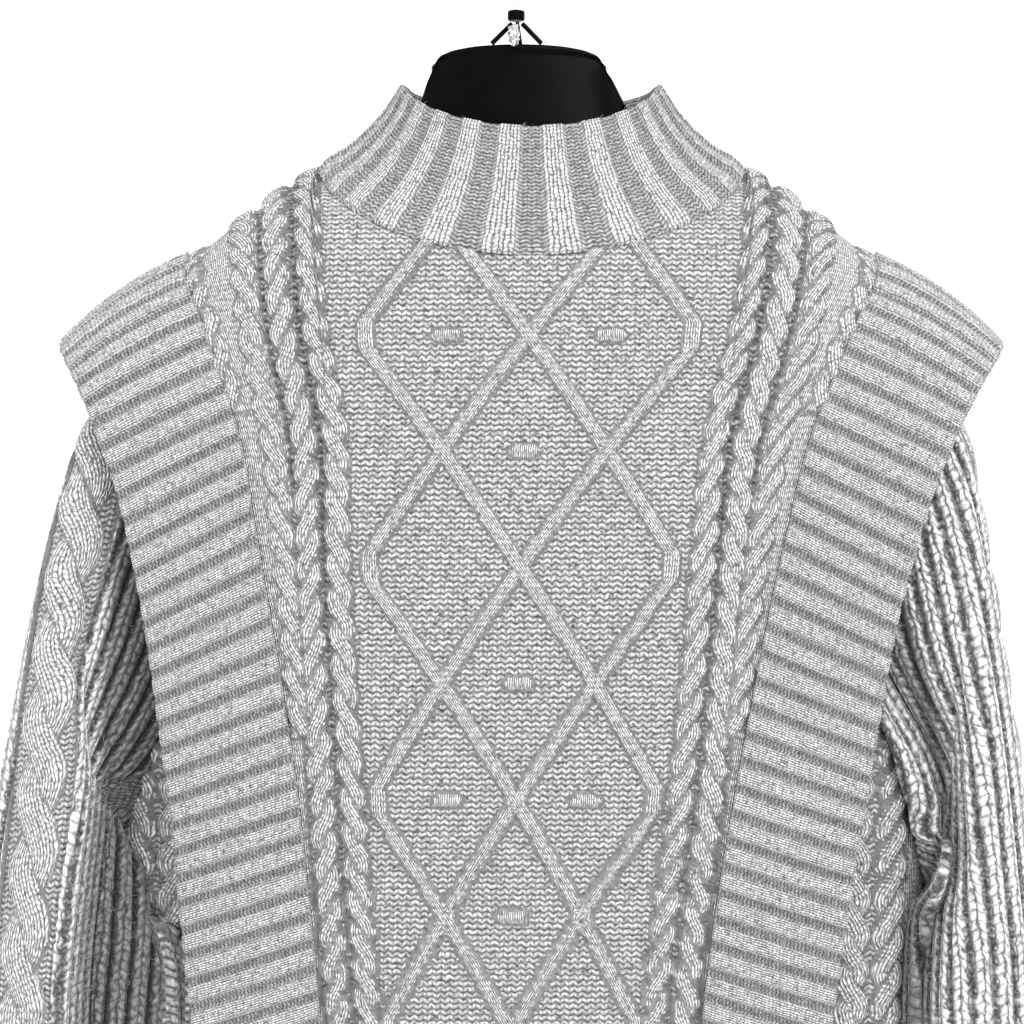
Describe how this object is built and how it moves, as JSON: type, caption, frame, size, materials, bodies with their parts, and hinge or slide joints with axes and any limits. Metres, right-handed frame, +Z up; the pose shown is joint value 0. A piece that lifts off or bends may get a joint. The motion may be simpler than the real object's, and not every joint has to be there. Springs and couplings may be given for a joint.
{
  "type": "sweater dress on a hanging torso form",
  "caption": "Cable-knit sweater dress with a ribbed funnel collar, wide ribbed shoulder bands and cabled sleeves, hung on a black half-torso form with a wire hook",
  "frame": {"origin": "top of the inside of the hook's loop, where a rail holds it", "axes": "+Z up, the front of the garment faces -Y, +X is the picture's right"},
  "size_m": [0.6359, 0.1826, 1.0228],
  "materials": {
    "knit": "light heather grey marled wool-blend knit, raised cables, cords and ribs",
    "plastic": "black injection-moulded plastic with a soft sheen",
    "steel": "plated steel wire"
  },
  "bodies": {
    "root": {"front": "knit", "back": "knit", "collar": "knit", "shoulder_band_left": "knit", "shoulder_band_right": "knit", "sleeve_left": "knit", "sleeve_right": "knit", "form_torso": "plastic", "form_neck": "plastic", "form_knob": "plastic", "form_strut_left": "plastic", "form_strut_middle": "plastic", "form_strut_right": "plastic", "hook": "steel"}
  },
  "joints": []
}
